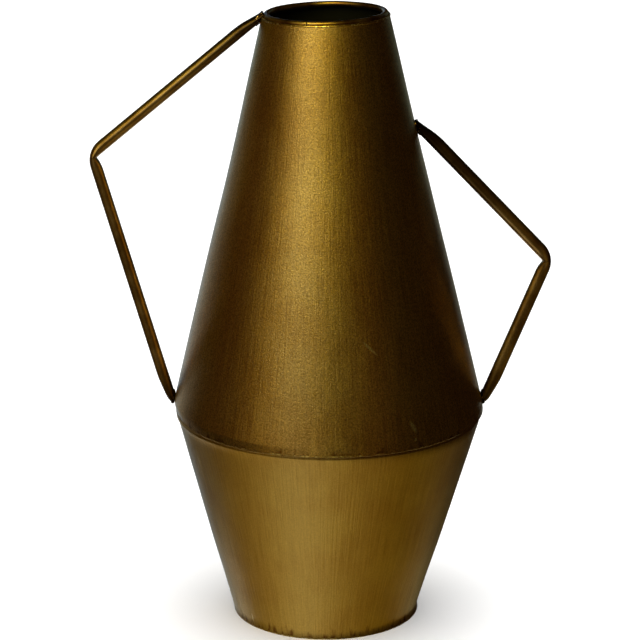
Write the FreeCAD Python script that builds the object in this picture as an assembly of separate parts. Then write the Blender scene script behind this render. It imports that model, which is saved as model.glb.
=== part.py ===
import FreeCAD, Part
import os
from math import acos, cos, pi, sin, sqrt, tan

# Two-handled urn vase of thin brass-finished sheet: a tall narrow cone soldered over a
# short upturned cone, with a rod ring at the mouth and two kinked tube handles.
# Millimetres, +Z up. The origin is the centre of the underside, on the axis of the cones.
# The handles lie in the XZ plane: the high one on -X, the low one on +X.

# Sheet and joints
sheet = 0.8
joint_gap = 0.2
solder_film = 0.1

# Body: outside radii and heights above the table
height = 420.0
mouth_outer_radius = 42.3
waist_radius = 105.9
waist_height = 150.0
foot_radius = 63.6

# Directions round the axis, in degrees
front_azimuth = -90.0
seam_azimuth = 90.0

# Mouth ring, of rod
rim_rod = 4.0
rim_seat_rise = 0.9
rim_joint_width = 0.6
rim_joint_turn = 17.5
rim_braze_radius = 0.55

# Lap at the waist: the upper cone's edge is turned down over the lower cone
lap_depth = 5.6
lap_fold_bend = 1.6
lip_inset = 1.0
tongue_margin = 2.0
tongue_lead = 1.2
tongue_bend = 6.0
waist_solder_radius = 0.7

# Bottom pan
pan_sheet = 1.0
pan_flange = 7.0
pan_bend = 3.2
pan_solder_rise = 0.3

# Lengthwise seams of the two rolled cones
seam_slit = 0.5
seam_width = 3.0
seam_height = 0.5
seam_tongue_width = 0.3
seam_tongue_depth = 0.6
seam_end_margin = 1.5

# Handles, of one size of tube, pressed a little oval
tube = 8.0
tube_wall = 0.8
crease_radius = 0.6
elbow_outer_radius = 17.5
elbow_lead = 7.0
tip_taper = 17.0
tip_plug = 2.0

# High handle, on -X: its elbow stands out past the waist, and its heights are below the
# ring's seat, apart from its lower end's, which is above the waist
left_width = 7.7
left_elbow_overhang = 46.5
left_elbow_drop = 96.0
left_top_drop = 6.2
left_bottom_rise = 4.7

# Low handle, on +X: all its heights are above the waist
right_width = 8.35
right_elbow_overhang = 38.5
right_elbow_rise = 99.9
right_top_rise = 188.2
right_bottom_rise = 4.0

# Weld collars where the handles meet the cone
weld_spread = 1.0
weld_height = 1.3

# Shapes of the tube's ends: shares of tip_taper back from where the inner edge meets the
# cone (negative is past it), and shares of the tube's width there
top_tip_shares = ((1.0, 1.0), (0.8, 0.98), (0.6, 0.94), (0.4, 0.87), (0.2, 0.79),
                  (0.0, 0.71), (-0.3, 0.61), (-0.75, 0.5))
bottom_tip_shares = ((1.0, 1.0), (0.8, 0.98), (0.5, 0.91), (0.2, 0.83), (0.0, 0.77),
                     (-0.12, 0.68), (-0.24, 0.52), (-0.36, 0.28))

# Counts
section_points = 16
elbow_steps = 5
lead_steps = 3

# What follows from the sizes above
seat_height = height - rim_rod + rim_seat_rise
lip_height = waist_height - lap_depth
lip_radius = waist_radius - lip_inset
upper_slope = (mouth_outer_radius - waist_radius) / (seat_height - waist_height)
sheet_across_upper = sheet * sqrt(1 + upper_slope ** 2)
lip_slope = lip_inset / lap_depth
lip_inner_radius = lip_radius - sheet * sqrt(1 + lip_slope ** 2)
neck_of_lower = lip_inner_radius - joint_gap
lower_slope = (neck_of_lower - foot_radius) / (lip_height - tongue_lead)
sheet_across_lower = sheet * sqrt(1 + lower_slope ** 2)


def upper_radius(z):
    """Outside radius of the tall cone."""
    return waist_radius + upper_slope * (z - waist_height)


def lower_radius(z):
    """Outside radius of the upturned cone."""
    return foot_radius + lower_slope * z


def corner_points(before, corner, after, bend):
    """Start, middle and end of the arc that rounds a corner in the (r, z) plane."""
    a = (before - corner).normalize()
    b = (after - corner).normalize()
    half = acos(max(-1.0, min(1.0, a.dot(b)))) / 2
    reach = bend / tan(half)
    middle = corner + (a + b).normalize() * (bend / sin(half) - bend)
    return corner + a * reach, middle, corner + b * reach


def outline(corners):
    """Closed face in the XZ plane from (r, z, bend) corners."""
    points = [FreeCAD.Vector(r, 0, z) for r, z, bend in corners]
    edges = []
    first = None
    last = None
    for i, (r, z, bend) in enumerate(corners):
        before = FreeCAD.Vector(points[i - 1])
        after = FreeCAD.Vector(points[(i + 1) % len(points)])
        start = finish = points[i]
        if bend > 0:
            start, middle, finish = corner_points(before, FreeCAD.Vector(points[i]), after, bend)
        if last is None:
            first = start
        else:
            edges.append(Part.LineSegment(last, start).toShape())
        if bend > 0:
            edges.append(Part.Arc(start, middle, finish).toShape())
        last = finish
    edges.append(Part.LineSegment(last, first).toShape())
    return Part.Face(Part.Wire(edges))


def sheet_outline(path, thickness):
    """Face of a bent sheet: the path is its outer side, from bottom to top, as (r, z, bend)
    corners, and the thickness lies towards the axis. Both edges are sheared level."""
    sides = []
    for (r0, z0, _), (r1, z1, _) in zip(path[:-1], path[1:]):
        run = sqrt((r1 - r0) ** 2 + (z1 - z0) ** 2)
        nr, nz = -(z1 - z0) / run, (r1 - r0) / run
        sides.append(((r0 + nr * thickness, z0 + nz * thickness), (r1 - r0, z1 - z0)))
    inner = []
    for i, (r, z, bend) in enumerate(path):
        (pr, pz), (dr, dz) = sides[min(i, len(sides) - 1)]
        if i == 0 or i == len(path) - 1:
            inner.append((pr + dr * (z - pz) / dz, z, 0))
            continue
        (qr, qz), (er, ez) = sides[i - 1]
        share = ((qr - pr) * ez - (qz - pz) * er) / (dr * ez - dz * er)
        turn = er * dz - ez * dr
        change = -thickness if turn > 0 else thickness
        inner.append((pr + dr * share, pz + dz * share, max(0, bend + change) if bend else 0))
    return outline(list(path) + inner[::-1])


def turned(face, degrees=360.0):
    """The face turned round the vase's axis."""
    return face.revolve(FreeCAD.Vector(0, 0, 0), FreeCAD.Vector(0, 0, 1), degrees)


def disc(r, z, radius):
    """Round face in the XZ plane."""
    circle = Part.Circle(FreeCAD.Vector(r, 0, z), FreeCAD.Vector(0, 1, 0), radius)
    return Part.Face(Part.Wire(circle.toShape()))


def slit_in(solid):
    """The rolled cone with the open slit where its two edges meet at the back."""
    blade = Part.makeBox(waist_radius * 2, seam_slit, height,
                         FreeCAD.Vector(0, -seam_slit / 2, 0))
    blade.rotate(FreeCAD.Vector(0, 0, 0), FreeCAD.Vector(0, 0, 1), seam_azimuth)
    return solid.cut(blade)


def upper_cone():
    """Tall cone of rolled sheet, its lower edge folded down over the other cone."""
    path = [(lip_radius, lip_height, 0),
            (waist_radius, waist_height, lap_fold_bend),
            (mouth_outer_radius, seat_height, 0)]
    return slit_in(turned(sheet_outline(path, sheet)))


def lower_cone():
    """Upturned cone of rolled sheet, its upper edge drawn in to slip under the lap."""
    tongue_top = waist_height - tongue_margin
    tongue_radius = neck_of_lower + lip_slope * (tongue_top - lip_height)
    path = [(foot_radius, 0, 0),
            (neck_of_lower, lip_height - tongue_lead, tongue_bend),
            (tongue_radius, tongue_top, 0)]
    return slit_in(turned(sheet_outline(path, sheet)))


def base_pan():
    """Bottom plate, its edge turned up inside the foot of the lower cone."""
    flange_side = lower_radius(0) - sheet_across_lower - joint_gap
    flange_top = flange_side + lower_slope * pan_flange
    flange_across = pan_sheet * sqrt(1 + lower_slope ** 2)
    corners = [(0, 0, 0),
               (flange_side, 0, pan_bend),
               (flange_top, pan_flange, 0),
               (flange_top - flange_across, pan_flange, 0),
               (flange_side + lower_slope * pan_sheet - flange_across, pan_sheet,
                pan_bend - pan_sheet),
               (0, pan_sheet, 0)]
    return turned(outline(corners))


def tangent_line(centre, radius, towards):
    """A point and direction of the line that touches the circle on the side towards a point,
    all in the XZ plane."""
    out = FreeCAD.Vector(towards - centre).normalize()
    return centre + out * radius, FreeCAD.Vector(-out.z, 0, out.x)


def at_height(point, along, z):
    """(r, z) where a line in the XZ plane reaches this height."""
    return point.x + along.x * (z - point.z) / along.z, z


def base_solder():
    """Solder run into the groove between the pan's bend and the foot: a three-sided fillet
    whose slanted side faces the bend."""
    flange_side = lower_radius(0) - sheet_across_lower - joint_gap
    wall = flange_side + joint_gap - solder_film
    opening = pi - acos(lower_slope / sqrt(1 + lower_slope ** 2))
    centre = FreeCAD.Vector(flange_side - pan_bend / tan(opening / 2), 0, pan_bend)
    touch, along = tangent_line(centre, pan_bend + solder_film, FreeCAD.Vector(flange_side, 0, 0))
    inner = at_height(touch, along, pan_solder_rise)
    share = (wall + lower_slope * touch.z - touch.x) / (along.x - lower_slope * along.z)
    top = touch + along * share
    return turned(outline([inner + (0,),
                           (wall + lower_slope * pan_solder_rise, pan_solder_rise, 0),
                           (top.x, top.z, 0)]))


def ring_section():
    """Round rod with a rebate that sits on the cone's upper edge."""
    rod = disc(mouth_outer_radius - rim_rod / 2, height - rim_rod / 2, rim_rod / 2)
    rebate_radius = mouth_outer_radius - sheet_across_upper - joint_gap
    rebate = outline([(rebate_radius, height - rim_rod, 0),
                      (mouth_outer_radius + rim_rod, height - rim_rod, 0),
                      (mouth_outer_radius + rim_rod, seat_height, 0),
                      (rebate_radius, seat_height, 0)])
    return rod.cut(rebate)


def rim_ring():
    """Mouth ring, bent from rod, with a narrow joint where its ends meet at the front."""
    gap_degrees = rim_joint_width / mouth_outer_radius * 180 / pi
    ring = turned(ring_section(), 360.0 - gap_degrees)
    start = front_azimuth - rim_joint_turn + gap_degrees / 2
    ring.rotate(FreeCAD.Vector(0, 0, 0), FreeCAD.Vector(0, 0, 1), start)
    return ring


def rim_braze():
    """Thin bead of braze round the outside of the mouth ring's seat."""
    rod_centre = FreeCAD.Vector(mouth_outer_radius - rim_rod / 2, 0, height - rim_rod / 2)
    bead_middle = FreeCAD.Vector(mouth_outer_radius, 0, seat_height + rim_braze_radius / 2)
    touch, along = tangent_line(rod_centre, rim_rod / 2 + solder_film, bead_middle)
    bead_top = seat_height + rim_braze_radius
    return turned(outline([at_height(touch, along, seat_height) + (0,),
                           (mouth_outer_radius + rim_braze_radius, seat_height, 0),
                           at_height(touch, along, bead_top) + (0,)]))


def waist_solder():
    """Solder fillet in the corner under the lap's lip."""
    low = lip_height - waist_solder_radius
    corner = lower_radius(lip_height) + solder_film
    return turned(outline([(lower_radius(low) + solder_film, low, 0),
                           (corner, lip_height, 0),
                           (corner + waist_solder_radius, lip_height, 0)]))


def seam_bar(foot, top):
    """Lengthwise solder seam: a low rounded bar along the cone's side, with a tongue
    that runs into the slit. foot and top are (r, z) on the cone's outside."""
    start = FreeCAD.Vector(foot[0], 0, foot[1])
    along = FreeCAD.Vector(top[0], 0, top[1]) - start
    out = FreeCAD.Vector(along.z, 0, -along.x).normalize()
    side = FreeCAD.Vector(0, 1, 0)
    left = start - side * (seam_width / 2)
    right = start + side * (seam_width / 2)
    inner_left = start - side * (seam_tongue_width / 2)
    inner_right = start + side * (seam_tongue_width / 2)
    deep = out * seam_tongue_depth
    corners = [right, inner_right, inner_right - deep, inner_left - deep, inner_left, left]
    edges = [Part.LineSegment(a, b).toShape() for a, b in zip(corners[:-1], corners[1:])]
    edges.append(Part.Arc(left, start + out * seam_height, right).toShape())
    bar = Part.Face(Part.Wire(edges)).extrude(along)
    bar.rotate(FreeCAD.Vector(0, 0, 0), FreeCAD.Vector(0, 0, 1), seam_azimuth)
    return bar


def upper_side_seam():
    foot = waist_height + lap_fold_bend + seam_end_margin
    top = seat_height - seam_end_margin
    return seam_bar((upper_radius(foot), foot), (upper_radius(top), top))


def lower_side_seam():
    foot = seam_end_margin
    top = lip_height - tongue_bend
    return seam_bar((lower_radius(foot), foot), (lower_radius(top), top))


def body_outside(clearance):
    """Everything inside the upper cone's outer face and the mouth ring, with clearance,
    as one solid that trims the handles and welds."""
    mouth = mouth_outer_radius + rim_braze_radius + clearance
    corners = [(0, lip_height, 0),
               (lip_radius + clearance, lip_height, 0),
               (waist_radius + clearance, waist_height, lap_fold_bend),
               (upper_radius(seat_height - rim_braze_radius) + clearance,
                seat_height - rim_braze_radius, 0),
               (mouth, seat_height - rim_braze_radius, 0),
               (mouth, height + rim_rod, 0),
               (0, height + rim_rod, 0)]
    return turned(outline(corners))


def depth_of(width):
    """Front-to-back size of the tube where it is pressed to this width: its girth stays."""
    return 2 * sqrt(tube ** 2 / 2 - (width / 2) ** 2)


def section(inner_point, out, width, shrink):
    """Oval wire across the tube, its inner edge at inner_point, drawn in by shrink."""
    middle = inner_point + out * (width / 2)
    across = out * (width / 2 - shrink)
    deep = FreeCAD.Vector(0, depth_of(width) / 2 - shrink, 0)
    points = []
    for k in range(section_points):
        angle = 2 * pi * k / section_points
        points.append(middle + across * cos(angle) + deep * sin(angle))
    curve = Part.BSplineCurve()
    curve.interpolate(points, PeriodicFlag=True)
    return Part.Wire(curve.toShape())


class Handle:
    """A bent tube in the XZ plane: a straight run down and out from the cone, a pinched
    elbow, and a straight run back. Its inner edge is two straight lines."""

    def __init__(self, side, width, overhang, top_z, crease_z, bottom_z):
        self.width = width
        self.top = FreeCAD.Vector(side * upper_radius(top_z), 0, top_z)
        self.bottom = FreeCAD.Vector(side * upper_radius(bottom_z), 0, bottom_z)
        self.crease = FreeCAD.Vector(side * (waist_radius + overhang), 0, crease_z)
        self.down = FreeCAD.Vector(self.crease - self.top).normalize()
        self.back = FreeCAD.Vector(self.bottom - self.crease).normalize()
        self.out_top = FreeCAD.Vector(-side * self.down.z, 0, side * self.down.x)
        self.out_bottom = FreeCAD.Vector(-side * self.back.z, 0, side * self.back.x)
        self.middle_out = FreeCAD.Vector(self.out_top + self.out_bottom).normalize()
        self.half_turn = acos(self.out_top.dot(self.middle_out))
        self.fan = self.crease - self.middle_out * (crease_radius / cos(self.half_turn))
        reach = (crease_radius + width - elbow_outer_radius) / cos(self.half_turn)
        self.arc_centre = self.fan + self.middle_out * reach

    def elbow_width(self, point, out):
        """Width from the inner edge to the elbow's rounded outer edge."""
        offset = point - self.arc_centre
        b = offset.dot(out)
        c = offset.dot(offset) - elbow_outer_radius ** 2
        reach = -b + sqrt(b * b - c)
        hit = FreeCAD.Vector(point + out * reach - self.arc_centre).normalize()
        if acos(min(1.0, hit.dot(self.middle_out))) > self.half_turn:
            return self.width
        return min(self.width, reach)

    def elbow_stations(self):
        """Inner point, outward direction and width at each section of the elbow."""
        stations = []
        pull = crease_radius * tan(self.half_turn)
        for k in range(lead_steps, 0, -1):
            point = self.crease - self.down * (pull + elbow_lead * k / lead_steps)
            stations.append((point, self.out_top))
        for k in range(-elbow_steps, elbow_steps + 1):
            angle = -k / elbow_steps * self.half_turn
            turn = FreeCAD.Vector(self.out_top - self.out_bottom).normalize()
            out = self.middle_out * cos(angle) + turn * sin(angle)
            stations.append((self.fan + out * crease_radius, out))
        for k in range(1, lead_steps + 1):
            point = self.crease + self.back * (pull + elbow_lead * k / lead_steps)
            stations.append((point, self.out_bottom))
        return [(point, out, self.elbow_width(point, out)) for point, out in stations]

    def tip_stations(self, contact, along, out, shares, first_share):
        """Stations of one tapered end, from the full tube to past the cone's face."""
        kept = [(back, wide) for back, wide in shares if back > first_share]
        if len(kept) < len(shares):
            kept.append((first_share, kept[-1][1]))
        return [(contact - along * (tip_taper * back), out, self.width * wide)
                for back, wide in kept]

    def solid(self, shrink, first_share=-1.0):
        """The tube's outside with shrink 0, its bore with shrink tube_wall."""
        elbow = self.elbow_stations()
        top = self.tip_stations(self.top, -self.down, self.out_top, top_tip_shares, first_share)
        bottom = self.tip_stations(self.bottom, self.back, self.out_bottom,
                                   bottom_tip_shares, first_share)
        wires = [section(point, out, width, shrink)
                 for point, out, width in top[::-1] + elbow + bottom]
        return Part.makeLoft(wires, True, True)

    def tube(self):
        """Hollow tube, hammered shut at both ends and trimmed to the cone."""
        outside = self.solid(0).cut(body_outside(joint_gap))
        bore = self.solid(tube_wall, tip_plug / tip_taper)
        return Part.makeSolid(Part.Compound([outside.Shells[0], bore.Shells[0].reversed()]))

    def welds(self):
        """The collars of weld at the top and bottom end: sleeves round the tube, as high as
        the weld stands off the cone."""
        sleeve = self.solid(-weld_spread).common(body_outside(weld_height))
        collars = sleeve.cut(self.solid(-solder_film)).cut(body_outside(solder_film)).Solids
        return sorted(collars, key=lambda collar: -collar.BoundBox.ZMax)


os.makedirs("parts", exist_ok=True)

left = Handle(-1, left_width, left_elbow_overhang, seat_height - left_top_drop,
              seat_height - left_elbow_drop, waist_height + left_bottom_rise)
right = Handle(1, right_width, right_elbow_overhang, waist_height + right_top_rise,
               waist_height + right_elbow_rise, waist_height + right_bottom_rise)
left_top_weld, left_bottom_weld = left.welds()
right_top_weld, right_bottom_weld = right.welds()

nodes = {
    "upper_cone": upper_cone(),
    "upper_side_seam": upper_side_seam(),
    "lower_cone": lower_cone(),
    "lower_side_seam": lower_side_seam(),
    "waist_solder": waist_solder(),
    "base_pan": base_pan(),
    "base_solder": base_solder(),
    "rim_ring": rim_ring(),
    "rim_braze": rim_braze(),
    "left_handle": left.tube(),
    "left_top_weld": left_top_weld,
    "left_bottom_weld": left_bottom_weld,
    "right_handle": right.tube(),
    "right_top_weld": right_top_weld,
    "right_bottom_weld": right_bottom_weld,
}

for name, shape in nodes.items():
    shape.exportStep("parts/" + name + ".step")
    print(name, "solids", len(shape.Solids), "volume", round(shape.Volume, 1),
          "valid", shape.isValid())
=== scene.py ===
from math import acos, cos, exp, hypot, pi, radians, sin, sqrt, tan

import bpy
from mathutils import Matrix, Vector, noise


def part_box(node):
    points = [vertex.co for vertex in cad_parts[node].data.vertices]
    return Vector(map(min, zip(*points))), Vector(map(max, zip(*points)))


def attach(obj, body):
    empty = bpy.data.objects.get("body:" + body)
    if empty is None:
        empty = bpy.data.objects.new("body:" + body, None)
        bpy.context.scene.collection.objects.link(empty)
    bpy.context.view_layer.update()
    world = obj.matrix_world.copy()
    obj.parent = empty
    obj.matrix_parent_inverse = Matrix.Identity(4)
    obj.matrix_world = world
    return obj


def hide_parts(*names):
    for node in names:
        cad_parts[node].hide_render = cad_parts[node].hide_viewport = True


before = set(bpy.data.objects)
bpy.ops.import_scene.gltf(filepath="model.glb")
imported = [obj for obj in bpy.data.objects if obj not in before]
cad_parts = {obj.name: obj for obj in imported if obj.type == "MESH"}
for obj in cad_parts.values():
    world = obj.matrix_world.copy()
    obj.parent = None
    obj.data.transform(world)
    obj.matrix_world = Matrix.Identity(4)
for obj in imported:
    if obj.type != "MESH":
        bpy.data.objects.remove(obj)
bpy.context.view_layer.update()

# Upper cone
# The tall cone is rolled from thin sheet iron, soldered down the back and finished in an
# antique brass lacquer. Its lower edge is turned down over the other cone as a lap.
MM = 0.001
upper_lo, upper_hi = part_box("upper_cone")
waist_radius = upper_hi.x
seat_height = upper_hi.z
lip_height = upper_lo.z
mouth_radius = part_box("rim_ring")[1].x
sheet = 0.8 * MM
lap_depth = 5.6 * MM
waist_height = lip_height + lap_depth
lap_fold_bend = 9 * MM
body_columns = 384
lip_rows = 6
fold_rows = 8
cone_rows = 46
scuff_depth = 30 * MM

# The rolled cone is a little out of true: it leans, bows and carries shallow dents
upper_lean = -0.0062
upper_lean_base = 0.75 * MM
upper_bow = 0.3 * MM
upper_bow_height = 310 * MM
upper_bow_reach = 35 * MM
upper_slack = 0.75 * MM
upper_slack_height = 325 * MM
upper_slack_reach = 60 * MM
dent_depth = 0.10 * MM
dent_size = 45 * MM

# The turned-down lip is uneven: it ends higher at the sides than in front, and it stands
# out further in front and on the right. The mouth's edge isn't quite level either.
lip_front_rise = 0.7 * MM
lip_side_rise = 1.6 * MM
lip_wobble = 0.3 * MM
lip_wobble_size = 9 * MM
lip_side_inset = 0.4 * MM
lip_left_inset = 1.5 * MM
lip_front_swell = 1.5 * MM
lip_right_swell = 1.0 * MM
fold_right_swell = lip_right_swell / 3
lap_left_rise = 1.5 * MM
mouth_fall = 1.9 * MM
mouth_rise = 0.8 * MM
mouth_turn = 15
uv_radius = 100 * MM


def upper_radius(z):
    """Outside radius of the tall cone."""
    share = (z - waist_height) / (seat_height - waist_height)
    slack = upper_slack * exp(-((z - upper_slack_height) / upper_slack_reach) ** 2)
    return waist_radius + (mouth_radius - waist_radius) * share - slack


def upper_shift(z):
    """How far the tall cone's centre stands to the right at this height."""
    bow = upper_bow * exp(-((z - upper_bow_height) / upper_bow_reach) ** 2)
    return upper_lean_base + upper_lean * (z - waist_height) + bow


def beside_axis(azimuth, reach, shift, z):
    """Point this far from an axis that stands to the right by shift."""
    return (reach * cos(azimuth) + shift, reach * sin(azimuth), z)


def dent(azimuth, z, around):
    """Shallow unevenness of the rolled sheet."""
    reach = around / dent_size
    spot = Vector((cos(azimuth) * reach, sin(azimuth) * reach, z / dent_size))
    return dent_depth * noise.noise(spot)


def rounded(before, corner, after, bend, rows):
    """Points of the arc that rounds a corner of an outline in (r, z)."""
    corner = Vector(corner)
    a = (Vector(before) - corner).normalized()
    b = (Vector(after) - corner).normalized()
    half = acos(max(-1.0, min(1.0, a.dot(b)))) / 2
    centre = corner + (a + b).normalized() * (bend / sin(half))
    start = (corner + a * (bend / tan(half)) - centre).normalized()
    finish = (corner + b * (bend / tan(half)) - centre).normalized()
    return [centre + start.slerp(finish, k / rows) * bend for k in range(rows + 1)]


def run(start, finish, rows):
    """Evenly spaced points from start to finish, without the last."""
    start = Vector(start)
    return [start + (Vector(finish) - start) * (k / rows) for k in range(rows)]


def lip_edge(azimuth):
    """(r, z) of the lip's outer edge round the waist."""
    reach = waist_radius / lip_wobble_size
    spot = Vector((cos(azimuth) * reach, sin(azimuth) * reach, 0))
    wobble = noise.noise(spot)
    rise = lip_front_rise + (lip_side_rise - lip_front_rise) * cos(azimuth) ** 2
    inset = lip_side_inset + lip_left_inset * max(0.0, -cos(azimuth)) ** 2
    swell = lip_right_swell * max(0.0, cos(azimuth)) ** 2
    swell += lip_front_swell * max(0.0, -sin(azimuth)) ** 2
    return (waist_radius - inset + swell + wobble * lip_wobble / 2,
            lip_height + rise + wobble * lip_wobble)


def mouth_height(azimuth):
    """Height of the mouth's edge, cut a little lower on the left and in front."""
    fall = mouth_fall * (1 - cos(azimuth - radians(mouth_turn))) / 2
    return seat_height + mouth_rise - fall


def upper_outline(azimuth):
    """Outer side of the tall cone from the lip's edge to the mouth, as (r, z)."""
    lip = lip_edge(azimuth)
    rise = lap_left_rise * max(0.0, -cos(azimuth)) ** 2
    swell = fold_right_swell * max(0.0, cos(azimuth)) ** 4
    fold = (upper_radius(waist_height + rise) + swell, waist_height + rise)
    mouth = (upper_radius(mouth_height(azimuth)), mouth_height(azimuth))
    arc = rounded(lip, fold, mouth, lap_fold_bend, fold_rows)
    points = run(lip, arc[0], lip_rows) + arc[:-1]
    side = run(arc[-1], mouth, cone_rows) + [Vector(mouth)]
    points += [Vector((upper_radius(z) + arc[-1].x - upper_radius(arc[-1].y), z))
               for _, z in side]
    return [(r + dent(azimuth, z, r), z) for r, z in points]


def inward(outline, thickness):
    """The outline moved towards the axis by the sheet's thickness."""
    moved = []
    for i, (r, z) in enumerate(outline):
        before = outline[max(i - 1, 0)]
        after = outline[min(i + 1, len(outline) - 1)]
        dr, dz = after[0] - before[0], after[1] - before[1]
        length = hypot(dr, dz)
        moved.append((r - thickness * dz / length, z + thickness * dr / length))
    return moved


def rolled_sheet(name, outline_at, shift_at, thickness, materials):
    """Closed shell of sheet round the axis. Its outer side takes the first material and
    its inner side the second. The UV map is in units of uv_radius, round and up."""
    verts = []
    heights = []
    for column in range(body_columns):
        azimuth = pi / 2 + 2 * pi * column / body_columns
        outer = outline_at(azimuth)
        for r, z in outer + inward(outer, thickness)[::-1]:
            verts.append(beside_axis(azimuth, r, shift_at(z), z))
            heights.append(z)
    rows = len(verts) // body_columns
    faces = []
    corners = []
    for column in range(body_columns):
        for row in range(rows):
            above = (row + 1) % rows
            quad = [(column, row), (column + 1, row), (column + 1, above), (column, above)]
            faces.append([c % body_columns * rows + r for c, r in quad])
            corners += [(2 * pi * c / body_columns, heights[c % body_columns * rows + r]
                         / uv_radius) for c, r in quad]
    mesh = bpy.data.meshes.new(name)
    mesh.from_pydata(verts, [], faces)
    layer = mesh.uv_layers.new(name="sheet")
    for corner, uv in zip(layer.data, corners):
        corner.uv = uv
    for material in materials:
        mesh.materials.append(material)
    for polygon in mesh.polygons:
        polygon.material_index = 0 if polygon.index % rows < rows // 2 else 1
    return finished(mesh)


def finished(mesh, crease=40):
    """Object for a mesh, shaded smooth but for edges sharper than crease degrees."""
    mesh.validate()
    mesh.shade_smooth()
    mesh.set_sharp_from_angle(angle=radians(crease))
    piece = bpy.data.objects.new(mesh.name, mesh)
    bpy.context.scene.collection.objects.link(piece)
    return piece


def colour(code):
    """Linear colour of an sRGB hex code."""
    parts = [int(code[i:i + 2], 16) / 255 for i in (1, 3, 5)]
    return [p / 12.92 if p <= 0.04045 else ((p + 0.055) / 1.055) ** 2.4 for p in parts] + [1]


def add(tree, kind, inputs=None, output=0, **settings):
    """Adds a node with its settings, and its inputs by name as a value or as the output
    of another node, and returns one of its outputs."""
    made = tree.nodes.new(kind)
    for key, value in settings.items():
        setattr(made, key, value)
    for key, value in (inputs or {}).items():
        socket = next(s for s in made.inputs if s.enabled and s.name == key)
        if isinstance(value, bpy.types.NodeSocket):
            tree.links.new(value, socket)
        else:
            socket.default_value = value
    outputs = [s for s in made.outputs if s.enabled]
    return outputs[output] if outputs else made


def new_material(name):
    """Empty node material and its tree."""
    material = bpy.data.materials.new(name)
    material.use_nodes = True
    material.node_tree.nodes.clear()
    return material, material.node_tree


def scuff(tree, place, x, y, z, turn, length, width):
    """Share of a scuff on the sheet, an oval this long and wide round a point. Lengths are
    in millimetres, and turn is its slope in degrees."""
    near = add(tree, "ShaderNodeMapping", {
        "Vector": place, "Location": (x * MM, y * MM, z * MM),
        "Rotation": (0, radians(turn), 0),
        "Scale": (length * MM, scuff_depth, width * MM)},
        vector_type="TEXTURE")
    away = add(tree, "ShaderNodeVectorMath", {"Vector": near}, operation="LENGTH")
    return add(tree, "ShaderNodeMapRange", {
        "Value": away, "From Min": 0.5, "From Max": 0.25, "To Max": 1.0})


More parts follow.
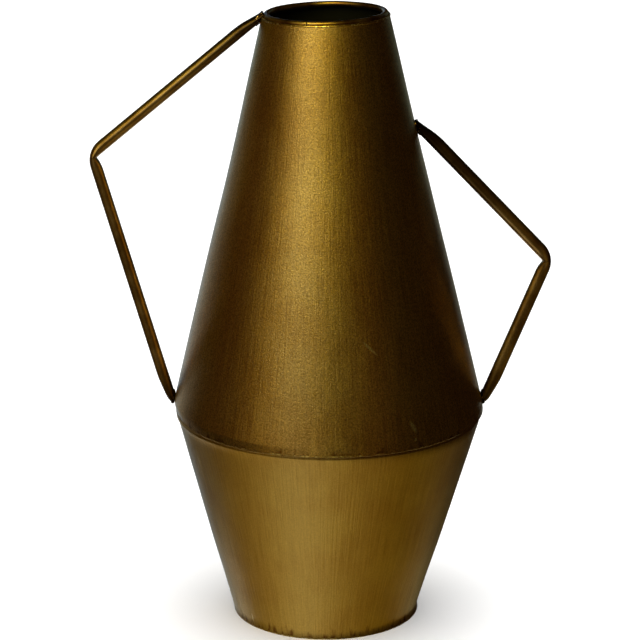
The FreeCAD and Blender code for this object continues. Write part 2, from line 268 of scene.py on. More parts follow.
def lacquered_brass(name, clear, deep, worn, roughness, streaks, speckle, edge, pool, scuffs):
    """Antique brass lacquer on rolled sheet: a fine metallic grain, vertical streaks where it
    was wiped on, dark mottles where it pooled at the lower edge, a few pale scuffs, and a pale
    broken line along the lower edge that is partly rubbed bare and partly a painted highlight.
    It gives a soft vertical glow that breaks into sparkle. The real grain is finer than
    the render can show, so it is drawn coarser."""
    grain_size = 1.0 * MM
    grain_relief = 0.3 * MM
    brush_relief = 0.5 * MM
    edge_wear_and_highlight = 1.1 * MM
    mottle_width = 4.5 * MM
    mottle_height = 11 * MM
    streak_width = 1.4 * MM
    streak_length = 45 * MM
    cloud_size = 38 * MM
    pooled_tone = "#70401A"
    bare_and_highlit_edge_tone = "#FFE6AE"
    scuffed_tone = "#E8DCBC"
    glitter = 0.7 * speckle
    brushing = 0.2 * streaks
    gloss_spread = 0.03
    material, tree = new_material(name)
    place = add(tree, "ShaderNodeTexCoord", output=3)
    unwrapped = add(tree, "ShaderNodeUVMap", uv_map="sheet")
    wiped = add(tree, "ShaderNodeMapping", {
        "Vector": unwrapped, "Scale": (uv_radius / streak_width, uv_radius / streak_length, 1)})
    grain = add(tree, "ShaderNodeTexNoise", {
        "Vector": place, "Scale": 1 / grain_size, "Detail": 2.0, "Roughness": 0.6})
    streak = add(tree, "ShaderNodeTexNoise", {
        "Vector": wiped, "Scale": 1.0, "Detail": 5.0, "Roughness": 0.65})
    cloud = add(tree, "ShaderNodeTexNoise", {
        "Vector": place, "Scale": 1 / cloud_size, "Detail": 3.0})
    thick = add(tree, "ShaderNodeMapRange", {
        "Value": cloud, "From Min": 0.4, "From Max": 0.65})
    wipe = add(tree, "ShaderNodeMapRange", {
        "Value": streak, "From Min": 0.35, "From Max": 0.7, "To Max": streaks})
    sparkle = add(tree, "ShaderNodeMapRange", {
        "Value": grain, "From Min": 0.36, "From Max": 0.64,
        "To Min": 1 - glitter, "To Max": 1 + glitter})
    brushed = add(tree, "ShaderNodeMapRange", {
        "Value": streak, "From Min": 0.35, "From Max": 0.65,
        "To Min": 1 - brushing, "To Max": 1 + brushing})
    tone = add(tree, "ShaderNodeMix", {
        "Factor": thick, "A": colour(clear), "B": colour(deep)}, data_type="RGBA")
    wiped_tone = add(tree, "ShaderNodeMix", {
        "Factor": wipe, "A": tone, "B": colour(worn)}, data_type="RGBA")
    height = add(tree, "ShaderNodeSeparateXYZ", {"Vector": place}, output=2)
    fade = add(tree, "ShaderNodeMapRange", {
        "Value": height, "From Min": edge, "From Max": edge + pool,
        "To Min": 0.40, "To Max": 0.80})
    full = add(tree, "ShaderNodeMapRange", {
        "Value": height, "From Min": edge, "From Max": edge + pool,
        "To Min": 0.58, "To Max": 0.98})
    around = add(tree, "ShaderNodeMapping", {
        "Vector": unwrapped,
        "Scale": (uv_radius / mottle_width, uv_radius / mottle_height, 1)})
    mottle = add(tree, "ShaderNodeTexNoise", {"Vector": around, "Scale": 1.0, "Detail": 2.0})
    pooled = add(tree, "ShaderNodeMapRange", {
        "Value": mottle, "From Min": fade, "From Max": full, "To Max": 0.85})
    stained = add(tree, "ShaderNodeMix", {
        "Factor": pooled, "A": wiped_tone, "B": colour(pooled_tone)}, data_type="RGBA")
    # Pale broken line just above the lower edge: partly bare metal rubbed through the lacquer,
    # partly a painted highlight of the edge catching the light.
    rubbed_and_highlit_flecks = add(tree, "ShaderNodeMapRange", {
        "Value": mottle, "From Min": 0.46, "From Max": 0.60, "To Max": 0.9})
    worn_and_highlit_edge = add(tree, "ShaderNodeMapRange", {
        "Value": height, "From Min": edge + edge_wear_and_highlight, "From Max": edge + edge_wear_and_highlight / 2,
        "To Max": rubbed_and_highlit_flecks})
    stained = add(tree, "ShaderNodeMix", {
        "Factor": worn_and_highlit_edge, "A": stained, "B": colour(bare_and_highlit_edge_tone)}, data_type="RGBA")
    for mark in scuffs:
        stained = add(tree, "ShaderNodeMix", {
            "Factor": scuff(tree, place, *mark), "A": stained, "B": colour(scuffed_tone)},
            data_type="RGBA")
    speckled = add(tree, "ShaderNodeVectorMath", {"Vector": stained, "Scale": sparkle},
                   operation="SCALE")
    base = add(tree, "ShaderNodeVectorMath", {"Vector": speckled, "Scale": brushed},
               operation="SCALE")
    gloss = add(tree, "ShaderNodeMapRange", {
        "Value": streak, "From Min": 0.3, "From Max": 0.7,
        "To Min": roughness - gloss_spread, "To Max": roughness + gloss_spread})
    brush_marks = add(tree, "ShaderNodeBump", {
        "Height": streak, "Strength": streaks, "Distance": brush_relief})
    relief = add(tree, "ShaderNodeBump", {
        "Height": grain, "Strength": speckle, "Distance": grain_relief, "Normal": brush_marks})
    skin = add(tree, "ShaderNodeBsdfPrincipled", {
        "Base Color": base, "Metallic": 1.0, "Roughness": gloss, "Normal": relief,
        "Coat Weight": 0.12, "Coat Roughness": 0.35})
    add(tree, "ShaderNodeOutputMaterial", {"Surface": skin})
    return material


def painted_shade_inside():
    """Bare inner side of the sheet, painted near black as shade: it swallows light, so that the
    mouth looks black."""
    stain_size = 25 * MM
    material, tree = new_material("smoked_sheet_iron")
    place = add(tree, "ShaderNodeTexCoord", output=3)
    stain = add(tree, "ShaderNodeTexNoise", {
        "Vector": place, "Scale": 1 / stain_size, "Detail": 4.0})
    tone = add(tree, "ShaderNodeMix", {
        "Factor": stain, "A": colour("#0A0907"), "B": colour("#1C1914")}, data_type="RGBA")
    skin = add(tree, "ShaderNodeBsdfPrincipled", {
        "Base Color": tone, "Metallic": 0.3, "Roughness": 0.62})
    add(tree, "ShaderNodeOutputMaterial", {"Surface": skin})
    return material


# The inner sides of both cones take this painted shade, near black.
inner_sheet_shade = painted_shade_inside()
# (x, y, z of the middle, slope in degrees, length, width)
tall_scuffs = ((56.5, -89, 159.6, 60, 11, 3.2), (58, -88, 151.4, 0, 2.4, 2.4),
               (28, -86, 212.8, 45, 15, 2.2))
tall_brass = lacquered_brass(
    "wiped_antique_brass", clear="#C1A06E", deep="#B48E5A", worn="#CAAC78", roughness=0.37,
    streaks=0.35, speckle=0.4, edge=lip_height + lip_front_rise, pool=8 * MM,
    scuffs=tall_scuffs)
upper_cone = rolled_sheet("tall_cone", upper_outline, upper_shift, sheet,
                          (tall_brass, inner_sheet_shade))
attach(upper_cone, "root")
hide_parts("upper_cone")

# Lower cone
# The short upturned cone is rolled from the same sheet. Its upper edge slips under the
# lap, and its foot is dressed outward a little where it stands.
lower_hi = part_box("lower_cone")[1]
foot_radius = 63.2 * MM
neck_radius = 103.5 * MM
neck_height = lip_height - 1.2 * MM
tongue_draw = 1.4 * MM
tongue_bend = 3.0 * MM
lower_lean = 0.0195
lower_lean_base = -1.25 * MM
lower_swell = 0.8 * MM
lower_swell_height = 42 * MM
lower_swell_reach = 14 * MM
neck_front_swell = 1.5 * MM
foot_flare_height = 6.5 * MM
foot_flare_left = 0.4 * MM
foot_flare_right = 1.8 * MM
foot_rows = 8


def lower_radius(z):
    """Outside radius of the short cone, which bellies out a little above its foot."""
    swell = lower_swell / (1 + exp(2 * (lower_swell_height - z) / lower_swell_reach))
    return foot_radius + (neck_radius - foot_radius) * z / neck_height + swell


def neck_swell(azimuth, z):
    """The short cone's neck is pressed out to meet the lap in front."""
    return neck_front_swell * max(0.0, -sin(azimuth)) ** 2 * max(0.0, z / neck_height)


def lower_shift(z):
    """How far the short cone's centre stands to the right at this height."""
    settle = min(1.0, max(0.0, (z - neck_height + tongue_bend) / tongue_bend))
    own = lower_lean_base + lower_lean * z
    return own + (upper_shift(z) - own) * settle


def lower_outline(azimuth):
    """Outer side of the short cone from the foot to the tongue's edge, as (r, z)."""
    foot = (foot_radius, 0)
    flare_top = (lower_radius(foot_flare_height), foot_flare_height)
    neck = (lower_radius(neck_height), neck_height)
    tongue = (neck[0] - tongue_draw, lower_hi.z)
    arc = rounded(flare_top, neck, tongue, tongue_bend, fold_rows)
    side = run(foot, flare_top, foot_rows) + run(flare_top, arc[0], cone_rows)
    points = [Vector((lower_radius(z), z)) for _, z in side] + arc + [Vector(tongue)]
    flare = foot_flare_left + (foot_flare_right - foot_flare_left) * (1 + cos(azimuth)) / 2
    done = []
    for r, z in points:
        share = max(0.0, 1 - z / foot_flare_height)
        done.append((r + flare * share ** 2 + neck_swell(azimuth, z) + dent(azimuth, z, r), z))
    return done


short_scuffs = ((-51, -43, 7.2, 80, 8, 0.9),)
short_brass = lacquered_brass(
    "brushed_antique_brass", clear="#BC9C60", deep="#B08C52", worn="#C6A86C", roughness=0.42,
    streaks=0.5, speckle=0.12, edge=0, pool=14 * MM, scuffs=short_scuffs)
lower_cone = rolled_sheet("short_cone", lower_outline, lower_shift, sheet,
                          (short_brass, inner_sheet_shade))
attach(lower_cone, "root")
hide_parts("lower_cone")

# Side seams and waist solder
# Each cone is closed by a line of soft solder down the back, wiped nearly flat, and a thin
# fillet of solder holds the short cone under the lap's lip.
bead_sides = 10
seam_bead = 1.5 * MM
seam_flatness = 0.3
seam_rows = 40
waist_bead = 0.45 * MM


def bead_tree():
    """Geometry Nodes: a lumpy bead of solder or braze laid along a path of edges."""
    tree = bpy.data.node_groups.new("bead_along_path", "GeometryNodeTree")
    sockets = tree.interface
    sockets.new_socket("Path", in_out="INPUT", socket_type="NodeSocketGeometry")
    for name in ("Bead Radius", "Step", "Lumpiness", "Lump Length", "Wander", "Seed"):
        sockets.new_socket(name, in_out="INPUT", socket_type="NodeSocketFloat")
    sockets.new_socket("Material", in_out="INPUT", socket_type="NodeSocketMaterial")
    sockets.new_socket("Bead", in_out="OUTPUT", socket_type="NodeSocketGeometry")
    given = tree.nodes.new("NodeGroupInput").outputs
    curve = add(tree, "GeometryNodeMeshToCurve", {"Mesh": given["Path"]})
    even = add(tree, "GeometryNodeResampleCurve", {"Curve": curve, "Length": given["Step"]},
               mode="LENGTH")
    place = add(tree, "GeometryNodeInputPosition")
    pitch = add(tree, "ShaderNodeMath", {"Value": 1.0}, operation="DIVIDE")
    tree.links.new(given["Lump Length"], pitch.node.inputs[1])
    lump = add(tree, "ShaderNodeTexNoise", {
        "Vector": place, "W": given["Seed"], "Scale": pitch, "Detail": 2.0},
        noise_dimensions="4D")
    scatter = lump.node.outputs["Color"]
    least = add(tree, "ShaderNodeMath", {"Value": 1.0}, operation="SUBTRACT")
    tree.links.new(given["Lumpiness"], least.node.inputs[1])
    most = add(tree, "ShaderNodeMath", {"Value": 1.0}, operation="ADD")
    tree.links.new(given["Lumpiness"], most.node.inputs[1])
    swell = add(tree, "ShaderNodeMapRange", {
        "Value": lump, "From Min": 0.3, "From Max": 0.7, "To Min": least, "To Max": most})
    centred = add(tree, "ShaderNodeVectorMath", {"Vector": scatter}, operation="SUBTRACT")
    centred.node.inputs[1].default_value = (0.5, 0.5, 0.5)
    drift = add(tree, "ShaderNodeVectorMath", {"Vector": centred, "Scale": given["Wander"]},
                operation="SCALE")
    moved = add(tree, "GeometryNodeSetPosition", {"Geometry": even, "Offset": drift})
    fat = add(tree, "GeometryNodeSetCurveRadius", {"Curve": moved, "Radius": swell})
    ring = add(tree, "GeometryNodeCurvePrimitiveCircle", {
        "Resolution": bead_sides, "Radius": given["Bead Radius"]})
    tube_mesh = add(tree, "GeometryNodeCurveToMesh", {
        "Curve": fat, "Profile Curve": ring, "Fill Caps": True})
    real = add(tree, "GeometryNodeRealizeInstances", {"Geometry": tube_mesh})
    dressed = add(tree, "GeometryNodeSetMaterial", {
        "Geometry": real, "Material": given["Material"]})
    tree.links.new(dressed, tree.nodes.new("NodeGroupOutput").inputs["Bead"])
    return tree


bead_nodes = bead_tree()


def bead(name, path, closed, **sizes):
    """Plain mesh of a bead laid along the path by the node tree. Sizes are the tree's
    inputs, each under its own name."""
    count = len(path)
    edges = [(k, (k + 1) % count) for k in range(count if closed else count - 1)]
    mesh = bpy.data.meshes.new(name)
    mesh.from_pydata(path, edges, [])
    piece = bpy.data.objects.new(name, mesh)
    bpy.context.scene.collection.objects.link(piece)
    laid = piece.modifiers.new("laid", "NODES")
    laid.node_group = bead_nodes
    for item in bead_nodes.interface.items_tree:
        size = item.name.lower().replace(" ", "_")
        if item.in_out == "INPUT" and size in sizes:
            laid[item.identifier] = sizes[size]
    solid = bpy.data.meshes.new_from_object(
        piece.evaluated_get(bpy.context.evaluated_depsgraph_get()))
    bpy.data.objects.remove(piece)
    solid.name = name
    return solid


def pressed(mesh, radius_at, shift_at, share):
    """Wipes a bead towards the cone's face, to this share of its height."""
    for vert in mesh.vertices:
        shift = shift_at(vert.co.z)
        reach = hypot(vert.co.x - shift, vert.co.y)
        surface = radius_at(vert.co.z)
        scale = (surface + (reach - surface) * share) / reach
        vert.co = ((vert.co.x - shift) * scale + shift, vert.co.y * scale, vert.co.z)


def solder():
    """Soft solder under brass lacquer, cast and dull: dark and softly lit, with small
    pits that break its shine."""
    pit_size = 1.2 * MM
    material, tree = new_material("lacquered_soft_solder")
    place = add(tree, "ShaderNodeTexCoord", output=3)
    pits = add(tree, "ShaderNodeTexNoise", {
        "Vector": place, "Scale": 1 / pit_size, "Detail": 3.0})
    tone = add(tree, "ShaderNodeMix", {
        "Factor": pits, "A": colour("#33230E"), "B": colour("#D2AC66")}, data_type="RGBA")
    relief = add(tree, "ShaderNodeBump", {
        "Height": pits, "Strength": 0.5, "Distance": 0.1 * MM})
    skin = add(tree, "ShaderNodeBsdfPrincipled", {
        "Base Color": tone, "Metallic": 0.9, "Roughness": 0.45, "Normal": relief})
    add(tree, "ShaderNodeOutputMaterial", {"Surface": skin})
    return material


soft_solder = solder()


def side_seam(name, node_name, radius_at, shift_at, seed):
    """Solder line down the back of one cone, between the heights of its CAD node."""
    low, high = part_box(node_name)
    heights = [low.z + (high.z - low.z) * (k / seam_rows) for k in range(seam_rows + 1)]
    path = [(shift_at(z), radius_at(z), z) for z in heights]
    mesh = bead(name, path, False, bead_radius=seam_bead, step=2 * MM, lumpiness=0.12,
                lump_length=14 * MM, wander=0.8 * MM, seed=seed, material=soft_solder)
    pressed(mesh, radius_at, shift_at, seam_flatness)
    piece = finished(mesh)
    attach(piece, "root")
    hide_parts(node_name)


side_seam("tall_side_seam", "upper_side_seam", upper_radius, upper_shift, 1.0)
side_seam("short_side_seam", "lower_side_seam", lower_radius, lower_shift, 2.0)

waist_path = []
for column in range(body_columns):
    azimuth = 2 * pi * column / body_columns
    lip_r, lip_z = lip_edge(azimuth)
    skin_r = lower_radius(neck_height) + neck_swell(azimuth, neck_height)
    waist_path.append(beside_axis(azimuth, (lip_r - sheet / 2 + skin_r) / 2,
                                  lower_shift(lip_z - waist_bead), lip_z - waist_bead / 2))
waist_mesh = bead("lap_solder", waist_path, True, bead_radius=waist_bead, step=1.2 * MM,
                  lumpiness=0.45, lump_length=5 * MM, wander=0.3 * MM, seed=3.0,
                  material=soft_solder)
lap_solder = finished(waist_mesh)
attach(lap_solder, "root")
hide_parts("waist_solder")

# Bottom pan
# A shallow pressed dish closes the foot from inside, its edge turned up against the short
# cone, and solder fills the groove round its bend.
pan_sheet = 1.0 * MM
pan_bend = 3.2 * MM
pan_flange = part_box("base_pan")[1].z
pan_clearance = 0.25 * MM
pan_side = foot_radius - sheet - pan_clearance
pan_columns = 192
pan_rows = 12
pan_solder_bead = 0.45 * MM
pan_solder_height = 2.2 * pan_solder_bead


def turned_solid(name, outline, shift_at, columns, material):
    """Closed solid of an (r, z) outline that starts and ends on the axis."""
    middle = outline[1:-1]
    verts = [(shift_at(outline[0][1]), 0, outline[0][1]),
             (shift_at(outline[-1][1]), 0, outline[-1][1])]
    for column in range(columns):
        azimuth = 2 * pi * column / columns
        verts += [beside_axis(azimuth, r, shift_at(z), z) for r, z in middle]
    faces = []
    for column in range(columns):
        here = 2 + column * len(middle)
        there = 2 + (column + 1) % columns * len(middle)
        faces.append((0, there, here))
        faces += [(here + k, there + k, there + k + 1, here + k + 1)
                  for k in range(len(middle) - 1)]
        faces.append((1, here + len(middle) - 1, there + len(middle) - 1))
    mesh = bpy.data.meshes.new(name)
    mesh.from_pydata(verts, [], faces)
    mesh.materials.append(material)
    return finished(mesh, crease=50)


def pan_outline():
    """Underside, rounded bend, flange and upper side of the pan, as (r, z)."""
    slope = (neck_radius - foot_radius) / neck_height
    side = (pan_side, 0)
    top = (pan_side + slope * pan_flange, pan_flange)
    arc = rounded((0, 0), side, top, pan_bend, fold_rows)
    outer = run((0, 0), arc[0], pan_rows) + arc + [Vector(top)]
    return [tuple(p) for p in outer] + inward(outer, pan_sheet)[::-1]


def pan_finish():
    """Brass lacquer on pressed sheet, thin and blotchy where it ran under the foot: duller
    and darker than the body."""
    blotch_size = 22 * MM
    material, tree = new_material("thin_brass_lacquer")
    place = add(tree, "ShaderNodeTexCoord", output=3)
    blotch = add(tree, "ShaderNodeTexNoise", {
        "Vector": place, "Scale": 1 / blotch_size, "Detail": 5.0})
    tone = add(tree, "ShaderNodeMix", {
        "Factor": blotch, "A": colour("#5A4724"), "B": colour("#8C7340")}, data_type="RGBA")
    skin = add(tree, "ShaderNodeBsdfPrincipled", {
        "Base Color": tone, "Metallic": 0.9, "Roughness": 0.5})
    add(tree, "ShaderNodeOutputMaterial", {"Surface": skin})
    return material


base_pan = turned_solid("bottom_pan", pan_outline(), lower_shift, pan_columns, pan_finish())
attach(base_pan, "root")
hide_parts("base_pan")

pan_path = [beside_axis(2 * pi * column / pan_columns,
                        foot_radius - sheet - pan_solder_bead / 2,
                        lower_shift(pan_solder_bead), pan_solder_height)
            for column in range(pan_columns)]
pan_mesh = bead("pan_solder", pan_path, True, bead_radius=pan_solder_bead, step=1.5 * MM,
                lumpiness=0.25, lump_length=6 * MM, wander=0.1 * MM, seed=4.0,
                material=soft_solder)
pan_solder = finished(pan_mesh)
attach(pan_solder, "root")
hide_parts("base_solder")

# Mouth ring
# A ring bent from 4 mm rod stiffens the mouth. Its ends meet at the front with a narrow
# joint, and a thin wavy bead of braze holds it on the cone.
ring_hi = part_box("rim_ring")[1]
rod = 4 * MM
ring_inset = 0.8 * MM
ring_radius = ring_hi.x - rod / 2 - ring_inset
ring_height = ring_hi.z - rod / 2
ring_gap = 0.6 * MM
ring_joint_turn = 17.5
ring_wobble = 0.12 * MM
ring_wobble_spread = 3
ring_rise_spot = Vector((0, 0, 5))
ring_steps = 288
rod_points = 24
braze_bead = 0.75 * MM
braze_sink = braze_bead / 6
braze_columns = 192


def swept(name, rings, material):
    """Closed tube through rings of points, with both ends filled."""
    verts = [point for ring in rings for point in ring]
    count = len(rings[0])
    faces = []
    for step in range(len(rings) - 1):
        for k in range(count):
            a, b = step * count + k, step * count + (k + 1) % count
            faces.append((a, b, b + count, a + count))
    faces.append(tuple(range(count))[::-1])
    faces.append(tuple(len(verts) - count + k for k in range(count)))
    mesh = bpy.data.meshes.new(name)
    mesh.from_pydata(verts, [], faces)
    mesh.materials.append(material)
    return finished(mesh, crease=60)


def ring_rings():
    """Sections of the rod round the mouth, from one end of the joint to the other."""
    gap = ring_gap / ring_radius
    start = radians(-90 - ring_joint_turn) + gap / 2
    rings = []
    for step in range(ring_steps + 1):
        azimuth = start + (2 * pi - gap) * step / ring_steps
        spot = Vector((cos(azimuth), sin(azimuth), 0)) * ring_wobble_spread
        out = noise.noise(spot) * ring_wobble
        up = noise.noise(spot + ring_rise_spot) * ring_wobble
        up += mouth_height(azimuth) - seat_height
        points = []
        for k in range(rod_points):
            turn = 2 * pi * k / rod_points
            r = ring_radius + out + rod / 2 * cos(turn)
            z = ring_height + up + rod / 2 * sin(turn)
            points.append(beside_axis(azimuth, r, upper_shift(z), z))
        rings.append(points[::-1])
    return rings


def rod_brass(name, clear, deep, roughness, scorch_and_shade):
    """Brass lacquer on steel rod and tube, brushed on by hand: satin, browner in patches, with
    a light grain. Near the cone it is darkened towards burnt brown: partly torch scorch at the
    welds, partly painted shade that reaches further out along the upper runs, so that they read
    darker than the lower ends."""
    grain_size = 1.1 * MM
    patch_size = 16 * MM
    low_scorch_and_shade_reach = 16 * MM
    top_scorch_and_shade_reach = 66 * MM
    low_scorch_and_shade_height = waist_height + 30 * MM
    top_scorch_and_shade_height = waist_height + 150 * MM
    burnt_and_shaded_tone = "#22120A"
    material, tree = new_material(name)
    place = add(tree, "ShaderNodeTexCoord", output=3)
    grain = add(tree, "ShaderNodeTexNoise", {
        "Vector": place, "Scale": 1 / grain_size, "Detail": 3.0})
    patch = add(tree, "ShaderNodeTexNoise", {
        "Vector": place, "Scale": 1 / patch_size, "Detail": 3.0})
    brown = add(tree, "ShaderNodeMapRange", {
        "Value": patch, "From Min": 0.4, "From Max": 0.62})
    tone = add(tree, "ShaderNodeMix", {
        "Factor": brown, "A": colour(clear), "B": colour(deep)}, data_type="RGBA")
    sparkle = add(tree, "ShaderNodeMapRange", {
        "Value": grain, "From Min": 0.3, "From Max": 0.7, "To Min": 0.85, "To Max": 1.15})
    taper = (waist_radius - mouth_radius) / (seat_height - waist_height)
    folded = add(tree, "ShaderNodeVectorMath", {"Vector": place}, operation="ABSOLUTE")
    reach = add(tree, "ShaderNodeVectorMath", {"Vector": folded}, operation="DOT_PRODUCT")
    reach.node.inputs[1].default_value = (1, 0, taper)
    skin_reach = waist_radius + taper * waist_height
    height = add(tree, "ShaderNodeSeparateXYZ", {"Vector": place}, output=2)
    # Darkening near the cone, torch scorch and painted shade together: it reaches 16 mm out
    # near the lower welds and 66 mm near the upper ones.
    heat_and_shade_reach = add(tree, "ShaderNodeMapRange", {
        "Value": height, "From Min": low_scorch_and_shade_height, "From Max": top_scorch_and_shade_height,
        "To Min": skin_reach + low_scorch_and_shade_reach, "To Max": skin_reach + top_scorch_and_shade_reach})
    scorch_and_shade_share = add(tree, "ShaderNodeMapRange", {
        "Value": reach, "From Min": skin_reach, "From Max": heat_and_shade_reach,
        "To Min": scorch_and_shade, "To Max": 0.0})
    burnt_and_shaded = add(tree, "ShaderNodeMix", {
        "Factor": scorch_and_shade_share, "A": tone, "B": colour(burnt_and_shaded_tone)}, data_type="RGBA")
    base = add(tree, "ShaderNodeVectorMath", {"Vector": burnt_and_shaded, "Scale": sparkle},
               operation="SCALE")
    relief = add(tree, "ShaderNodeBump", {
        "Height": grain, "Strength": 0.3, "Distance": 0.05 * MM})
    skin = add(tree, "ShaderNodeBsdfPrincipled", {
        "Base Color": base, "Metallic": 1.0, "Roughness": roughness, "Normal": relief,
        "Coat Weight": 0.1, "Coat Roughness": 0.3})
    add(tree, "ShaderNodeOutputMaterial", {"Surface": skin})
    return material


rubbed_brass = rod_brass("rubbed_brass_rod", clear="#AC8C60", deep="#6E4C2C",
                         roughness=0.36, scorch_and_shade=0.0)
mouth_ring = swept("mouth_ring", ring_rings(), rubbed_brass)
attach(mouth_ring, "root")
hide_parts("rim_ring")


def run_braze(name, dull, bare):
    """Brazing metal left as it ran, dark and glossy in its hollows, with small bare spots
    that shine through the lacquer."""
    lump_size = 2.0 * MM
    material, tree = new_material(name)
    place = add(tree, "ShaderNodeTexCoord", output=3)
    lump = add(tree, "ShaderNodeTexNoise", {
        "Vector": place, "Scale": 1 / lump_size, "Detail": 3.0})
    spots = add(tree, "ShaderNodeMapRange", {"Value": lump, "From Min": 0.55, "From Max": 0.64})
    tone = add(tree, "ShaderNodeMix", {
        "Factor": spots, "A": colour(dull), "B": colour(bare)}, data_type="RGBA")
    relief = add(tree, "ShaderNodeBump", {
        "Height": lump, "Strength": 0.6, "Distance": 0.15 * MM})
    skin = add(tree, "ShaderNodeBsdfPrincipled", {
        "Base Color": tone, "Metallic": 1.0, "Roughness": 0.32, "Normal": relief})
    add(tree, "ShaderNodeOutputMaterial", {"Surface": skin})
    return material


brass_braze = run_braze("lacquered_brass_braze", dull="#C0A068", bare="#FFF0D0")
braze_path = []
for column in range(braze_columns):
    azimuth = 2 * pi * column / braze_columns
    braze_path.append(beside_axis(azimuth, upper_radius(seat_height) - braze_sink,
                                  upper_shift(seat_height), mouth_height(azimuth)))
braze_mesh = bead("ring_braze", braze_path, True, bead_radius=braze_bead, step=1 * MM,
                  lumpiness=0.3, lump_length=5 * MM, wander=0.6 * MM, seed=5.0,
                  material=brass_braze)
ring_braze = finished(braze_mesh)
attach(ring_braze, "root")
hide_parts("rim_braze")

# Handles
# Each handle is one length of 8 mm tube, kinked cold over an edge so that it pinches at
# the elbow, and hammered narrow at both ends where it is brazed to the cone.
tube = 8 * MM
section_points = 32
tip_taper = 17 * MM
sink = 0.4 * MM
straight_rows = 24
elbow_rows = 16
# After the crease: where the inner edge's curve has its corner, and how soon the sections
# turn to the lower run
kick_corner = 0.45
kick_turn = 1.5
# (how far along the taper from the cone's face, share of the tube's full width)
top_tip_shares = ((1.0, 1.0), (0.8, 0.98), (0.6, 0.94), (0.4, 0.87), (0.2, 0.79),
                  (0.0, 0.71), (-0.3, 0.61))
bottom_tip_shares = ((1.0, 1.0), (0.8, 0.98), (0.5, 0.91), (0.2, 0.83), (0.0, 0.77),
                     (-0.12, 0.68), (-0.24, 0.52))


def handle_section(inner, out, width):
    """Oval ring of points across the tube, its inner edge at inner. It keeps the tube's
    girth, and stops a little inside the cone's face."""
    deep = sqrt(max(tube ** 2 / 2 - (width / 2) ** 2, (tube / 4) ** 2))
    middle = inner + out * (width / 2)
    points = []
    for k in range(section_points):
        turn = 2 * pi * k / section_points
        point = middle + out * (width / 2 * cos(turn)) + Vector((0, deep * sin(turn), 0))
        floor_radius = upper_radius(point.z) - sink
        away = hypot(point.x - upper_shift(point.z), point.y)
        if point.z < seat_height and away < floor_radius:
            scale = floor_radius / away
            shift = upper_shift(point.z)
            point = Vector(((point.x - shift) * scale + shift, point.y * scale, point.z))
        points.append(point)
    return points


def handle_stations(side, top, crease, bottom, width, kick, kick_length, bend):
    """(inner point, outward direction, width) along the handle, from its top to its
    bottom. The inner edge runs straight down to the crease. The lower run's straight edge
    passes inside the crease by kick, and the tube reaches it kick_length further on. The
    outer edge turns the elbow on an arc of radius bend."""
    down = (crease - top).normalized()
    out_top = Vector((-side * down.z, 0, side * down.x))
    back = (bottom - crease).normalized()
    inside = crease - Vector((-side * back.z, 0, side * back.x)) * kick
    back = (bottom - inside).normalized()
    out_bottom = Vector((-side * back.z, 0, side * back.x))
    middle_out = (out_top + out_bottom).normalized()
    half = acos(out_top.dot(middle_out))
    top_reach = top.dot(out_top) + width - bend
    bottom_reach = inside.dot(out_bottom) + width - bend
    cross = out_top.x * out_bottom.z - out_top.z * out_bottom.x
    centre = Vector(((top_reach * out_bottom.z - bottom_reach * out_top.z) / cross, 0,
                     (out_top.x * bottom_reach - out_bottom.x * top_reach) / cross))
    stations = [(top + down * (tip_taper * share), out_top, width * wide)
                for share, wide in top_tip_shares[::-1]]
    first = top + down * tip_taper
    last = crease - down * width
    stations += [(first + (last - first) * (k / straight_rows), out_top, width)
                 for k in range(1, straight_rows + 1)]
    corner = inside + back * (kick_length * kick_corner)
    after = inside + back * kick_length
    turning = [(last + (crease - last) * (k / elbow_rows),
                out_top.slerp(middle_out, (k / elbow_rows) ** 2))
               for k in range(1, elbow_rows + 1)]
    for k in range(1, elbow_rows + 1):
        share = k / elbow_rows
        point = crease.lerp(corner, share).lerp(corner.lerp(after, share), share)
        turning.append((point, middle_out.slerp(out_bottom, min(1.0, kick_turn * share))))
    for point, out in turning:
        offset = point - centre
        b = offset.dot(out)
        reach = -b + sqrt(max(b * b - offset.dot(offset) + bend ** 2, 0.0))
        hit = (point + out * reach - centre).normalized()
        if acos(min(1.0, hit.dot(middle_out))) > half:
            near = out_top if (point - crease).dot(down) < 0 else out_bottom
            line = top if near is out_top else inside
            reach = (width - (point - line).dot(near)) / out.dot(near)
        stations.append((point, out, reach))
    finish = bottom - back * tip_taper
    stations += [(after + (finish - after) * (k / straight_rows), out_bottom, width)
                 for k in range(1, straight_rows + 1)]
    stations += [(bottom - back * (tip_taper * share), out_bottom, width * wide)
                 for share, wide in bottom_tip_shares[1:]]
    return stations


def handle(name, node_name, side, heights, width, elbow, kick, kick_length, bend, tubing):
    """One handle, from the heights of its inner edge at the upper end, at the crease and at
    the lower end. The crease stands inside the CAD node's reach by elbow."""
    low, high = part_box(node_name)
    edge = low.x if side < 0 else high.x
    top_z, crease_z, bottom_z = heights
    top = Vector((side * upper_radius(top_z) + upper_shift(top_z), 0, top_z))
    bottom = Vector((side * upper_radius(bottom_z) + upper_shift(bottom_z), 0, bottom_z))
    crease = Vector((edge - side * elbow, 0, crease_z))
    stations = handle_stations(side, top, crease, bottom, width, kick, kick_length, bend)
    rings = [handle_section(*station) for station in stations]
    if side > 0:
        rings = [ring[::-1] for ring in rings]
    piece = swept(name, rings, tubing)
    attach(piece, "root")
    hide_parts(node_name)
    return rings


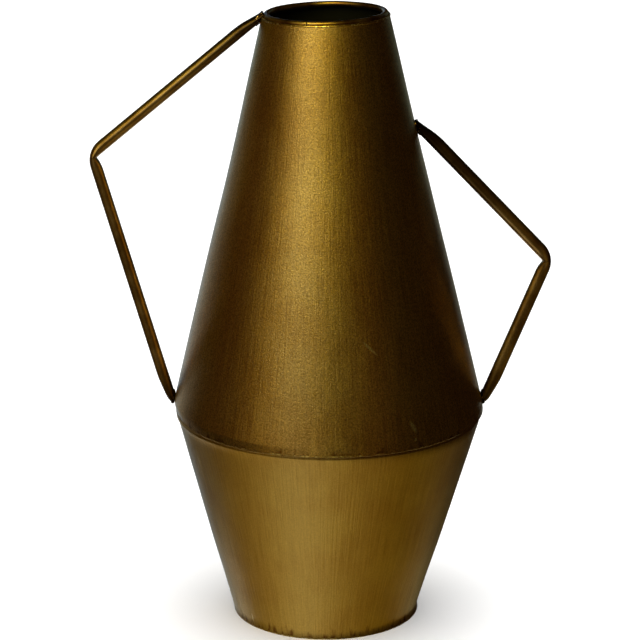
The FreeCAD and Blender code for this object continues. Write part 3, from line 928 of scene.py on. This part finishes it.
# The tube is darkened near the cone by torch scorch and painted shade.
tube_brass = rod_brass("brushed_brass_tube", clear="#BC9A6E", deep="#98764C",
                       roughness=0.36, scorch_and_shade=0.97)
left_rings = handle(
    "left_handle_tube", "left_handle", side=-1,
    heights=(seat_height - 4.5 * MM, seat_height - 96.0 * MM, waist_height + 4.7 * MM),
    width=7.8 * MM, elbow=4.2 * MM, kick=1.9 * MM, kick_length=9 * MM, bend=17.5 * MM,
    tubing=tube_brass)
right_rings = handle(
    "right_handle_tube", "right_handle", side=1,
    heights=(waist_height + 189.0 * MM, waist_height + 99.4 * MM, waist_height + 4.8 * MM),
    width=8.65 * MM, elbow=5.1 * MM, kick=1.75 * MM, kick_length=9 * MM, bend=17.5 * MM,
    tubing=tube_brass)

# Handle welds
# A lumpy collar of braze runs round each end of the handles, where copper shows through
# the lacquer in small bright spots.
weld_bead = 0.6 * MM
bare_copper = run_braze("copper_braze", dull="#24120A", bare="#E4B8A8")
dull_copper = run_braze("lacquered_copper_braze", dull="#1A120A", bare="#4A3420")


def contact_loop(rings, from_top):
    """Where the tube's skin meets the cone's face, one point for each line of the skin."""
    order = rings if from_top else rings[::-1]
    loop = []
    for k in range(section_points):
        for ring in order:
            point = ring[k]
            away = hypot(point.x - upper_shift(point.z), point.y) - upper_radius(point.z)
            if away > sink / 2:
                break
        loop.append(point)
    return loop


for node_name, rings, from_top, seed, braze in (
        ("left_top_weld", left_rings, True, 6.0, bare_copper),
        ("left_bottom_weld", left_rings, False, 7.0, dull_copper),
        ("right_top_weld", right_rings, True, 8.0, bare_copper),
        ("right_bottom_weld", right_rings, False, 9.0, dull_copper)):
    weld_mesh = bead(node_name + "_braze", contact_loop(rings, from_top), True,
                     bead_radius=weld_bead, step=0.8 * MM, lumpiness=0.35,
                     lump_length=3 * MM, wander=0.3 * MM, seed=seed, material=braze)
    weld = finished(weld_mesh)
    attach(weld, "root")
    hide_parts(node_name)

# Floor
# A pale matt floor with no edge in view. The soft boxes shine past it, and a broad sun of
# its own lights it evenly and gives the vase a soft contact shadow.
floor_reach = 12.0
sun_strength = 5.2
sun_spread = 80


def pale_floor():
    """Matt white studio floor paint: even, with a very faint unevenness."""
    material, tree = new_material("matt_white_floor")
    place = add(tree, "ShaderNodeTexCoord", output=3)
    wash = add(tree, "ShaderNodeTexNoise", {"Vector": place, "Scale": 3.0})
    tone = add(tree, "ShaderNodeMix", {
        "Factor": wash, "A": colour("#F4F4F2"), "B": colour("#FAFAFA")}, data_type="RGBA")
    skin = add(tree, "ShaderNodeBsdfPrincipled", {
        "Base Color": tone, "Roughness": 0.9, "Specular IOR Level": 0.1})
    add(tree, "ShaderNodeOutputMaterial", {"Surface": skin})
    return material


floor_mesh = bpy.data.meshes.new("studio_floor")
floor_corners = [(x * floor_reach, y * floor_reach, 0)
                 for x, y in ((-1, -1), (1, -1), (1, 1), (-1, 1))]
floor_mesh.from_pydata(floor_corners, [], [(0, 1, 2, 3)])
floor_mesh.materials.append(pale_floor())
floor = bpy.data.objects.new("studio_floor", floor_mesh)
bpy.context.scene.collection.objects.link(floor)
floor.visible_glossy = False
floor.visible_shadow = False

sun_data = bpy.data.lights.new("floor_sun", "SUN")
sun_data.energy = sun_strength
sun_data.angle = radians(sun_spread)
floor_sun = bpy.data.objects.new("floor_sun", sun_data)
floor_sun.visible_glossy = False
bpy.context.scene.collection.objects.link(floor_sun)

# Lights
# Soft boxes that the camera doesn't see and that only the metal mirrors: a bright group in
# front on the left makes the body's band of light, and dim ones all round lift the edges.
box_aim = Vector((0, 0, 0.25))
box_distance = 2.0


def soft_box(name, azimuth, elevation, width, height, power, tint):
    """Rectangular soft box that faces the vase. Azimuth 0 is in front, 90 on the right."""
    data = bpy.data.lights.new(name, "AREA")
    data.shape = "RECTANGLE"
    data.size = width
    data.size_y = height
    data.energy = power
    data.color = colour(tint)[:3]
    lamp = bpy.data.objects.new(name, data)
    a, e = radians(azimuth), radians(elevation)
    away = Vector((sin(a) * cos(e), -cos(a) * cos(e), sin(e)))
    lamp.location = box_aim + away * box_distance
    lamp.rotation_euler = away.to_track_quat("Z", "Y").to_euler()
    lamp.visible_camera = False
    lamp.visible_diffuse = False
    bpy.context.scene.collection.objects.link(lamp)


# In front on the left, for the band of light on the tall cone
soft_box("front_high", -20, 45, 1.2, 0.9, 24, "#FFF050")
soft_box("key", -27, 28, 0.5, 1.2, 3.4, "#F0FFF0")
soft_box("key_right", -14, 12, 0.6, 1.2, 0.3, "#FFC830")
soft_box("key_left", -42, 12, 0.6, 1.2, 0.9, "#FFD020")
soft_box("amber_left", -60, 12, 0.6, 1.2, 0.2, "#FF8A00")
soft_box("ember_left", -90, 12, 0.6, 1.2, 0.1, "#FF3000")
soft_box("ember_right", 30, 12, 0.6, 1.2, 0.12, "#FF3000")
soft_box("side_left", -120, 12, 0.6, 1.2, 0.25, "#FFDA00")

# Below, for the short cone, which faces down
soft_box("low_key", -20, -52, 0.8, 1.0, 1.8, "#FFFCD8")
soft_box("low_left", -45, -52, 0.8, 1.0, 1.25, "#FFF5B0")
soft_box("low_far_left", -75, -52, 0.8, 1.0, 1.3, "#FFE780")
soft_box("low_side_left", -110, -52, 0.8, 1.0, 0.65, "#FFD400")
soft_box("low_front", 5, -52, 0.8, 1.0, 1.1, "#FFEF68")
soft_box("low_right", 30, -52, 0.8, 1.0, 0.8, "#FFE288")
soft_box("low_far_right", 60, -52, 0.8, 1.0, 0.55, "#FFD000")
soft_box("low_side_right", 90, -52, 0.8, 1.0, 0.4, "#FFF568")
soft_box("low_rear_right", 120, -52, 0.8, 1.0, 0.7, "#FFC838")

# Behind, for the pale edges
soft_box("low_back_left", -150, -52, 0.8, 1.0, 6, "#FAFFF6")
soft_box("low_back_right", 150, -52, 0.8, 1.0, 2.5, "#F0FFD8")
soft_box("rim_left", -168, -10, 0.9, 1.8, 5.0, "#B8E0FF")
soft_box("rim_side_left", -145, -14, 0.8, 0.8, 0.8, "#F6FFFC")
soft_box("rim_right", 168, -14, 0.8, 0.8, 1.1, "#F0FFF6")
soft_box("back_left", -150, 12, 0.6, 1.2, 0.4, "#DCFFCC")
soft_box("back_right", 150, 12, 0.6, 1.2, 0.3, "#CCFFEC")

# The air between the boxes, which is white to the camera and a very dim brown to the metal
world = bpy.data.worlds.new("studio")
world.use_nodes = True
bpy.context.scene.world = world
world.node_tree.nodes.clear()
seen = add(world.node_tree, "ShaderNodeLightPath")
air = add(world.node_tree, "ShaderNodeMix", {
    "Factor": seen, "A": colour("#1A0B07"), "B": colour("#FFFFFF")}, data_type="RGBA")
glow = add(world.node_tree, "ShaderNodeBackground", {"Color": air, "Strength": 1.0})
add(world.node_tree, "ShaderNodeOutputWorld", {"Surface": glow})

# Camera
# It stands at the photograph's angle, in front and a little above the mouth.
camera_height = 708.3 * MM
camera_distance = 1752.9 * MM
camera_side = -4.7 * MM
camera_pitch = 15.94
camera_lens = 150.4
camera_sensor = 36
camera_data = bpy.data.cameras.new("camera")
camera_data.lens = camera_lens
camera_data.sensor_width = camera_sensor
camera = bpy.data.objects.new("camera", camera_data)
camera.location = (camera_side, -camera_distance, camera_height)
camera.rotation_euler = (radians(90 - camera_pitch), 0, 0)
bpy.context.scene.collection.objects.link(camera)
bpy.context.scene.camera = camera
bpy.context.scene.view_settings.view_transform = "Standard"
